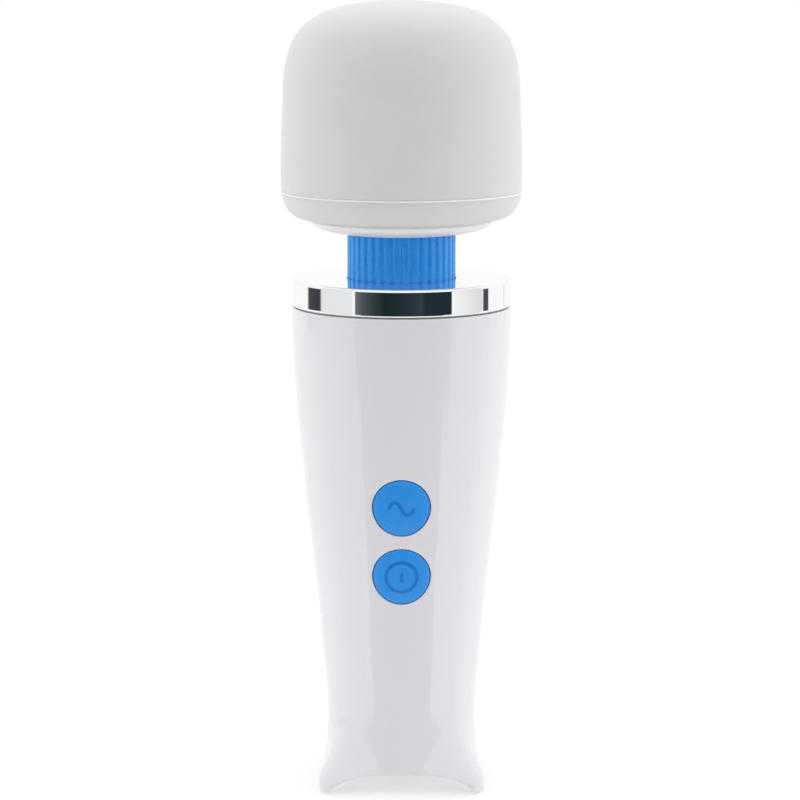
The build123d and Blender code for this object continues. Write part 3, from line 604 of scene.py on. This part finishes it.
DISH_LOW = 113.55
dish = [(NECK_OPENING, 115.0), (NECK_OPENING, DISH_LOW + 0.3)]
dish += [
    (NECK_OPENING + 0.3 * (1 - math.cos(t)), DISH_LOW + 0.3 * (1 - math.sin(t)))
    for t in np.linspace(0, math.pi / 2, 5)[1:]
]
dish += [(12.3, DISH_LOW)]
dish += spline([(13.1, DISH_LOW), (16.2, 114.2), (18.3, 115.5)], (1, 0.05), (0.4, 1), 18)
dish += [(18.36, 115.66), (18.38, 115.8), (18.34, 115.9), (18.3, 116.1), (18.3, 118.05)]
collar = lathe("head_base_skin", dish, [collar_white], 224, 50)
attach(collar, "head")
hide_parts("head_base")

# ---------------------------------------------------------------- flexible neck

RIBS, RIB_DEPTH, RIB_SHARPNESS = 36, 0.34, 7
SLEEVE_RADIUS, SLEEVE_FOOT, SLEEVE_HEAD, SLEEVE_ROWS = 11.0, 101.3, 116.3, 28
FLARE, FLARE_HEIGHT = 0.04, 0.9
PIVOT = 108.7
BEND_CUTS = 13


def sleeve(name, low, high, rows):
    """Part of the ribbed sleeve between two heights."""
    per_rib = 12
    around = RIBS * per_rib
    verts, faces = [], []
    for i in range(rows + 1):
        z = low + (high - low) * i / rows
        flare = FLARE * math.exp(-((z - RING_TOP) / FLARE_HEIGHT) ** 2)
        for j in range(around):
            turn = TAU * j / around
            groove = abs(math.cos(RIBS * turn / 2)) ** RIB_SHARPNESS
            r = SLEEVE_RADIUS - RIB_DEPTH * groove + flare * (1 - 0.5 * groove)
            verts.append((r * math.cos(turn), r * math.sin(turn), z))
    for i in range(rows):
        for j in range(around):
            k = (j + 1) % around
            a, b = i * around, (i + 1) * around
            faces.append((a + j, a + k, b + k, b + j))
    return piece(name, verts, faces, [sleeve_blue], angle=70)


BEND_TOP = 2 * PIVOT - RING_TOP


def half_of(name, node, lower, finish):
    """A copy of an inner flexible piece, cut at the pivot and into short lengths."""
    source = frame["nodes"][node]
    shape = bmesh.new()
    shape.from_mesh(source.data)
    shape.transform(source.matrix_world)
    for z in np.linspace(RING_TOP, BEND_TOP, BEND_CUTS):
        bmesh.ops.bisect_plane(
            shape, geom=shape.verts[:] + shape.edges[:] + shape.faces[:],
            plane_co=(0, 0, z * MM), plane_no=(0, 0, 1),
        )
    away = 1 if lower else -1
    bmesh.ops.bisect_plane(
        shape, geom=shape.verts[:] + shape.edges[:] + shape.faces[:],
        plane_co=(0, 0, PIVOT * MM), plane_no=(0, 0, away), clear_outer=True,
    )
    mesh = bpy.data.meshes.new(name)
    shape.to_mesh(mesh)
    shape.free()
    mesh.materials.clear()
    mesh.materials.append(finishes[finish])
    mesh.shade_smooth()
    mesh.set_sharp_from_angle(angle=math.radians(50))
    obj = bpy.data.objects.new(name, mesh)
    bpy.context.scene.collection.objects.link(obj)
    return obj


bending = [
    (
        "neck_sleeve", "sleeve_blue",
        sleeve("neck_sleeve_lower", SLEEVE_FOOT, PIVOT, SLEEVE_ROWS),
        sleeve("neck_sleeve_upper", PIVOT, SLEEVE_HEAD, SLEEVE_ROWS),
    ),
]
for node, finish in (("neck_spring", "spring_steel"), ("motor_leads", "lead_insulation")):
    halves = [
        half_of(f"{node}_{end}", node, end == "lower", finish) for end in ("lower", "upper")
    ]
    bending.append((node, finish, *halves))
for node, finish, lower, upper in bending:
    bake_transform(lower)
    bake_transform(upper)
    for obj in (lower, upper):
        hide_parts(node)

# ---------------------------------------------------------------- buttons

BUTTON_RADIUS = 5.74
CROWN, CROWN_ACROSS, CROWN_UP = 0.30, 13.76, 46.0


def crown(a, b):
    """Height of the button's domed face over the face plane."""
    turn = CROWN_ACROSS - CROWN_UP + math.sqrt(CROWN_UP**2 - b**2)
    return math.sqrt(turn**2 - a**2) - CROWN_ACROSS + CROWN


def on_button(side, a, b, height):
    """Place in the row frame, in mm, of a point of a button."""
    p = face_middle + face_up * (side * BUTTON_OFFSET + b) + face_out * height
    return (a, p.y, p.z)


def button(name, side):
    """Cap of a button: a domed face, a rounded rim and a straight side."""
    rounding = 0.42
    segments = 128
    circles = [0.5, 1.0, 1.6, 2.2, 2.8, 3.4, 4.0, 4.5, 4.9, BUTTON_RADIUS - rounding]
    verts, rings = [on_button(side, 0, 0, crown(0, 0))], [[0]]

    def ring(radius, drop):
        start = len(verts)
        for i in range(segments):
            t = TAU * i / segments
            edge = min(radius, BUTTON_RADIUS - 0.02)
            a, b = radius * math.cos(t), radius * math.sin(t)
            height = crown(edge * math.cos(t), edge * math.sin(t)) - drop
            verts.append(on_button(side, a, b, height))
        rings.append(list(range(start, start + segments)))

    for radius in circles:
        ring(radius, 0)
    for t in np.linspace(0, math.pi / 2, 7)[1:]:
        ring(BUTTON_RADIUS - rounding * (1 - math.sin(t)), rounding * (1 - math.cos(t)))
    ring(BUTTON_RADIUS, 1.2)
    ring(BUTTON_RADIUS, 2.2)
    faces = []
    for a, b in zip(rings, rings[1:]):
        for i in range(segments):
            j = (i + 1) % segments
            if len(a) == 1:
                faces.append((a[0], b[i], b[j]))
            else:
                faces.append((a[i], b[i], b[j], a[j]))
    return piece(name, verts, faces, [button_blue], angle=50)


SUNK, PROUD = -0.05, 0.008


def inlay(name, side, strips):
    """Ribbons laid on a button's face. A strip is a list of pairs of (a, b) edge points."""
    verts, faces = [], []
    for strip, closed in strips:
        start = len(verts)
        for left, right in strip:
            for (a, b), lift in ((left, SUNK), (left, PROUD), (right, PROUD), (right, SUNK)):
                verts.append(on_button(side, a, b, crown(a, b) + lift))
        count = len(strip)
        for i in range(count if closed else count - 1):
            j = (i + 1) % count
            here, there = start + 4 * i, start + 4 * j
            for k in range(3):
                faces.append((here + k, here + k + 1, there + k + 1, there + k))
    return piece(name, verts, faces, [symbol_blue], angle=50)


STROKE, SYMBOL_RADIUS = 0.68, 3.1


def ribbon(line):
    """Edge points either side of a line of (a, b) points."""
    pairs = []
    for i, (a, b) in enumerate(line):
        before, after = line[max(i - 1, 0)], line[min(i + 1, len(line) - 1)]
        run = Vector((after[0] - before[0], after[1] - before[1])).normalized() * (STROKE / 2)
        pairs.append(((a - run.y, b + run.x), (a + run.y, b - run.x)))
    return pairs


inside, outside = SYMBOL_RADIUS - STROKE / 2, SYMBOL_RADIUS + STROKE / 2
circle = [
    (
        (inside * math.cos(t), inside * math.sin(t)),
        (outside * math.cos(t), outside * math.sin(t)),
    )
    for t in np.linspace(0, TAU, 97)[:-1]
]
bar = ribbon([(0, y) for y in np.linspace(-1.0, 1.0, 9)])

# one period of a wave: a zigzag with rounded corners
STEP, CREST, BEND = 2.6, 2.2, 0.9
slope = math.atan2(STEP, 2 * CREST)
zigzag = [(-STEP, 0.0)]
for x, way in ((-STEP / 2, 1), (STEP / 2, -1)):
    middle = way * (CREST - BEND / math.sin(slope))
    for t in np.linspace(math.pi - slope, slope, 13):
        zigzag.append((x + BEND * math.cos(t), middle + way * BEND * math.sin(t)))
zigzag.append((STEP, 0.0))
line = [zigzag[0]]
for a, b in zip(zigzag, zigzag[1:]):
    pieces = max(1, round(math.dist(a, b) / 0.25))
    line += [
        (a[0] + (b[0] - a[0]) * i / pieces, a[1] + (b[1] - a[1]) * i / pieces)
        for i in range(1, pieces + 1)
    ]
wave = ribbon(line)
for name, side, strips in (
    ("mode", 1, [(wave, False)]),
    ("power", -1, [(circle, True), (bar, False)]),
):
    cap = button(f"{name}_button_cap", side)
    mark = inlay(f"{name}_symbol_inlay", side, strips)
    for obj, node, finish in (
        (cap, f"{name}_button", "button_blue"), (mark, f"{name}_symbol", "symbol_blue")
    ):
        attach(obj, f"{name}_key")
        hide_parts(node)

# ---------------------------------------------------------------- floor, light and camera

floor_mesh = bpy.data.meshes.new("floor")
FLOOR_HALF = 0.25
corners = [(x * FLOOR_HALF, y * FLOOR_HALF, 0) for x, y in ((-1, -1), (1, -1), (1, 1), (-1, 1))]
floor_mesh.from_pydata(corners, [], [(0, 1, 2, 3)])
floor = bpy.data.objects.new("floor", floor_mesh)
bpy.context.scene.collection.objects.link(floor)
floor_white = material("floor_white", (0.5, 0.5, 0.5), 0.9, **{"Specular IOR Level": 0.0})
shader = floor_white.node_tree.nodes["Principled BSDF"]
shader.inputs["Emission Color"].default_value = (1, 1, 1, 1)
shader.inputs["Emission Strength"].default_value = 0.5
floor_mesh.materials.append(floor_white)
floor.visible_glossy = False

world = bpy.data.worlds.new("studio")
bpy.context.scene.world = world
world.use_nodes = True
nodes, links = world.node_tree.nodes, world.node_tree.links
background = nodes["Background"]


def value(kind, operation, *inputs):
    node = nodes.new(kind)
    node.operation = operation
    for i, item in enumerate(inputs):
        if isinstance(item, (int, float)):
            node.inputs[i].default_value = item
        else:
            links.new(item, node.inputs[i])
    return node.outputs[0]


def calc(operation, *inputs):
    """A maths node of the world shader."""
    return value("ShaderNodeMath", operation, *inputs)


def between(source, low, high, soft):
    """1 where source is between two values, with soft edges."""
    out = []
    for a, b in ((low - soft, low + soft), (high + soft, high - soft)):
        step = nodes.new("ShaderNodeMapRange")
        step.interpolation_type = "SMOOTHSTEP"
        step.inputs["From Min"].default_value = min(a, b)
        step.inputs["From Max"].default_value = max(a, b)
        step.inputs["To Min"].default_value = 0.0 if a < b else 1.0
        step.inputs["To Max"].default_value = 1.0 if a < b else 0.0
        links.new(source, step.inputs["Value"])
        out.append(step.outputs["Result"])
    return calc("MULTIPLY", *out)


around = nodes.new("ShaderNodeTexCoord")
split = nodes.new("ShaderNodeSeparateXYZ")
links.new(around.outputs["Generated"], split.inputs[0])
toward = calc("MULTIPLY", split.outputs["Y"], -1.0)
azimuth = calc("MULTIPLY", calc("ARCTAN2", split.outputs["X"], toward), 180 / math.pi)
elevation = calc("MULTIPLY", calc("ARCSINE", split.outputs["Z"]), 180 / math.pi)


def zone(az, el, strength, soft_az=0.8, soft_el=2.0):
    """How much of one part of the studio is hung with dark cloth."""
    return calc(
        "MULTIPLY",
        calc("MULTIPLY", between(azimuth, *az, soft_az), between(elevation, *el, soft_el)),
        strength,
    )


RING_BAND, SIDE_BAND = (-8.8, -5.4), (-40, 40)
falling = calc("MULTIPLY", calc("SUBTRACT", azimuth, 48.0), 0.0062)
dark = zone((-49.5, 54), (-17, 3), 1.0, 0.9, 3.0)
for cloth in (
    zone((-45.5, 46.5), (-34, 3), 1.0, 0.9, 2.5),
    zone((-115.6, -93.0), RING_BAND, 1.0, 2.4, 0.8),
    zone((95, 103.5), RING_BAND, 1.0, 0.8, 0.8),
    zone((135.5, 138), RING_BAND, 0.25, 0.8, 0.8),
    zone((-93, -52.6), SIDE_BAND, 0.19),
    zone((57, 93.6), SIDE_BAND, falling),
):
    dark = calc("MAXIMUM", dark, cloth)

# the cloth is not evenly black: its colour by direction, from behind on the left round the front
shades = nodes.new("ShaderNodeValToRGB")
stops = (
    (-180, (0.055, 0.056, 0.066)), (-110, (0.06, 0.062, 0.075)), (-98, (0.045, 0.045, 0.06)),
    (-72, (0.13, 0.14, 0.16)), (-49, (0.15, 0.155, 0.17)),
    (-42, (0.08, 0.092, 0.115)), (-30, (0.036, 0.05, 0.052)), (-18, (0.013, 0.024, 0.023)),
    (-4, (0.013, 0.027, 0.032)), (15, (0.028, 0.038, 0.05)), (20, (0.038, 0.052, 0.062)),
    (25, (0.015, 0.028, 0.034)), (50, (0.015, 0.025, 0.03)), (90, (0.07, 0.075, 0.09)),
)
elements = shades.color_ramp.elements
elements[0].position, elements[0].color = 0.0, (*stops[0][1], 1)
elements[1].position, elements[1].color = 1.0, (*stops[-1][1], 1)
for at, shade in stops[1:]:
    element = elements.new((at + 180) / 360)
    element.color = (*shade, 1)
links.new(calc("DIVIDE", calc("ADD", azimuth, 180.0), 360.0), shades.inputs["Fac"])


def mix(factor, first, second):
    node = nodes.new("ShaderNodeMix")
    node.data_type = "RGBA"
    sockets = [i for i in node.inputs if i.type == "RGBA"]
    links.new(factor, node.inputs["Factor"])
    for socket, item in zip(sockets, (first, second)):
        if isinstance(item, tuple):
            socket.default_value = item
        else:
            links.new(item, socket)
    return next(o for o in node.outputs if o.type == "RGBA")


# matt surfaces get less light from ahead, from below and from straight behind
sees = nodes.new("ShaderNodeLightPath")
ahead = calc("MAXIMUM", toward, 0.0)
behind = calc("MAXIMUM", split.outputs["Y"], 0.0)
below = calc("MAXIMUM", calc("MULTIPLY", split.outputs["Z"], -1.0), 0.0)
LEVEL, LESS_AHEAD, MORE_RIGHT, LESS_BELOW, LESS_BEHIND = 1.41, 0.67, 0.1, 0.5, 0.4
spread = calc("MULTIPLY", calc("SUBTRACT", 1.0, calc("MULTIPLY", ahead, LESS_AHEAD)), LEVEL)
right = calc("MULTIPLY", calc("MAXIMUM", split.outputs["X"], 0.0), MORE_RIGHT)
spread = calc("MULTIPLY", spread, calc("ADD", right, 1.0))
spread = calc("MULTIPLY", spread, calc("SUBTRACT", 1.0, calc("MULTIPLY", below, LESS_BELOW)))
deep = calc("MULTIPLY", calc("MULTIPLY", behind, behind), LESS_BEHIND)
spread = calc("MULTIPLY", spread, calc("SUBTRACT", 1.0, deep))
seen = mix(dark, (1.0, 1.0, 1.0, 1.0), shades.outputs["Color"])
links.new(
    mix(sees.outputs["Is Camera Ray"], mix(sees.outputs["Is Glossy Ray"], spread, seen),
        (1.0, 1.0, 1.0, 1.0)),
    background.inputs["Color"],
)
background.inputs["Strength"].default_value = 1.0

CAMERA_PLACE, CAMERA_AIM = (-0.0003, -0.5575, 0.1694), (-0.0003, 0.0, 0.07886)
LENS, SENSOR = 124.0, 36.0
camera_data = bpy.data.cameras.new("camera")
camera_data.lens = LENS
camera_data.sensor_width = SENSOR
camera = bpy.data.objects.new("camera", camera_data)
bpy.context.scene.collection.objects.link(camera)
camera.location = CAMERA_PLACE
aim = Vector(CAMERA_AIM) - camera.location
camera.rotation_mode = "QUATERNION"
camera.rotation_quaternion = aim.to_track_quat("-Z", "Y")
bpy.context.scene.camera = camera
bpy.context.scene.view_settings.view_transform = "Standard"
